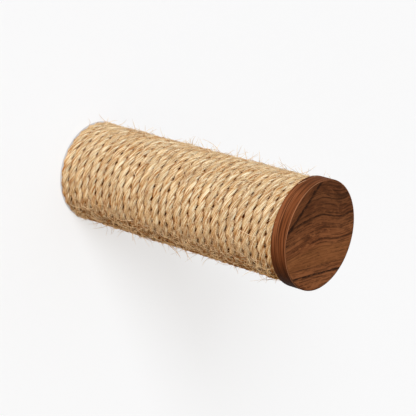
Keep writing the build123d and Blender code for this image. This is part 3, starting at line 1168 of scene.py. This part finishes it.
class PERCH_OT_set_stage(bpy.types.Operator):
    """Puts up the white wall, the lamps, the backdrop and the camera"""

    bl_idname = "perch.set_stage"
    bl_label = "Set Stage"

    def execute(self, context):
        stage = context.scene.perch_stage
        middle = (cad_box[0] + cad_box[1]) / 2
        self.put_up_wall(stage)
        self.fill_world(context.scene, stage)
        self.hang_lamps(stage, middle)
        self.place_camera(context.scene, stage, middle)
        context.scene.view_settings.view_transform = "Standard"
        return {"FINISHED"}

    def put_up_wall(self, stage):
        """Widens a ring of edges into a wall with an opening behind the post."""
        bpy.ops.object.select_all(action="DESELECT")
        bpy.ops.mesh.primitive_circle_add(
            vertices=96, radius=stage.wall_hole, fill_type="NOTHING",
            location=(0, stage.wall_lift, 0), rotation=(math.pi / 2, 0, 0),
        )
        wall = bpy.context.object
        wall.name = "wall"
        bpy.ops.object.transform_apply(location=True, rotation=True, scale=True)
        bpy.ops.object.mode_set(mode="EDIT")
        bpy.ops.mesh.select_all(action="SELECT")
        bpy.ops.mesh.extrude_edges_indiv()
        wider = stage.wall_radius / stage.wall_hole
        bpy.ops.transform.resize(value=(wider, 1, wider), center_override=(0, 0, 0))
        bpy.ops.mesh.select_all(action="SELECT")
        bpy.ops.mesh.normals_make_consistent(inside=False)
        bpy.ops.object.mode_set(mode="OBJECT")
        if wall.data.polygons[0].normal.y > 0:
            wall.data.flip_normals()
        wall.data.materials.append(wall_material(stage))

    def fill_world(self, scene, stage):
        """Light by height from all round, and the pale backdrop that is seen past the wall."""
        world = bpy.data.worlds.new("studio")
        world.use_nodes = True
        scene.world = world
        tree = world.node_tree
        tree.nodes.clear()
        height = split(tree, node(tree, "ShaderNodeTexCoord").outputs["Generated"])[2]
        light = mix(tree, ramp(tree, height, -0.5, 0.5), stage.low_sky, stage.sky)
        shown = mix(tree, seen(tree), light, (stage.backdrop,) * 3)
        sky = node(tree, "ShaderNodeBackground", {"Color": shown})
        node(tree, "ShaderNodeOutputWorld", {"Surface": sky.outputs[0]})

    def hang_lamps(self, stage, middle):
        """A far soft lamp that lights the whole wall evenly, and a lamp behind the wall."""
        key = bpy.data.lights.new("key_lamp", "SUN")
        key.energy, key.angle = stage.key * math.pi, stage.key_spread
        shining = bearing(-stage.key_azimuth, -stage.key_elevation)
        stand("key_lamp", key, (0, 0, 0), shining)
        rear = bpy.data.lights.new("rear_lamp", "AREA")
        rear.energy, rear.size = stage.rear_power, stage.rear_width
        place = middle + Vector(stage.rear_place)
        stand("rear_lamp", rear, place, -place)

    def place_camera(self, scene, stage, middle):
        """Stands the camera where the photograph was taken from."""
        lens = bpy.data.cameras.new("camera")
        lens.sensor_fit, lens.sensor_width, lens.lens = "HORIZONTAL", 36.0, stage.lens
        lens.clip_start, lens.clip_end = 0.05, 20.0
        course = bearing(stage.camera_azimuth, -stage.camera_pitch)
        place = middle + Vector(stage.camera_aim) - course * stage.camera_distance
        scene.camera = stand("camera", lens, place, course)


class PERCH_PT_workshop(bpy.types.Panel):
    """Lists the steps in the order in which they are taken"""

    bl_idname = "PERCH_PT_workshop"
    bl_label = "Cat Perch"
    bl_space_type = "VIEW_3D"
    bl_region_type = "UI"
    bl_category = "Cat Perch"

    def draw(self, context):
        for title, group, operators in WORKSHOP:
            box = self.layout.box()
            box.label(text=title)
            settings = getattr(context.scene, group)
            for name in settings.__annotations__:
                box.prop(settings, name)
            for operator in operators:
                box.operator(operator.bl_idname)


WORKSHOP = (
    ("Rope", "perch_rope", (PERCH_OT_wind_rope,)),
    ("Fibres", "perch_fibres", (PERCH_OT_tease_fibres,)),
    ("Wood", "perch_wood", (PERCH_OT_finish_disc, PERCH_OT_finish_post)),
    ("Metal", "perch_metal", (PERCH_OT_finish_metal,)),
    ("Stage", "perch_stage", (PERCH_OT_set_stage,)),
)
SETTINGS = {
    "perch_rope": RopeSettings,
    "perch_fibres": FibreSettings,
    "perch_wood": WoodSettings,
    "perch_metal": MetalSettings,
    "perch_stage": StageSettings,
}
CLASSES = (
    *SETTINGS.values(),
    *(operator for title, group, operators in WORKSHOP for operator in operators),
    PERCH_PT_workshop,
)


def register():
    for each in CLASSES:
        bpy.utils.register_class(each)
    for name, group in SETTINGS.items():
        setattr(bpy.types.Scene, name, PointerProperty(type=group))


def unregister():
    for name in SETTINGS:
        delattr(bpy.types.Scene, name)
    for each in reversed(CLASSES):
        bpy.utils.unregister_class(each)


def main():
    register()
    bpy.ops.perch.wind_rope()
    bpy.ops.perch.tease_fibres()
    bpy.ops.perch.finish_disc()
    bpy.ops.perch.finish_post()
    bpy.ops.perch.finish_metal()
    bpy.ops.perch.set_stage()


if __name__ == "__main__":
    main()
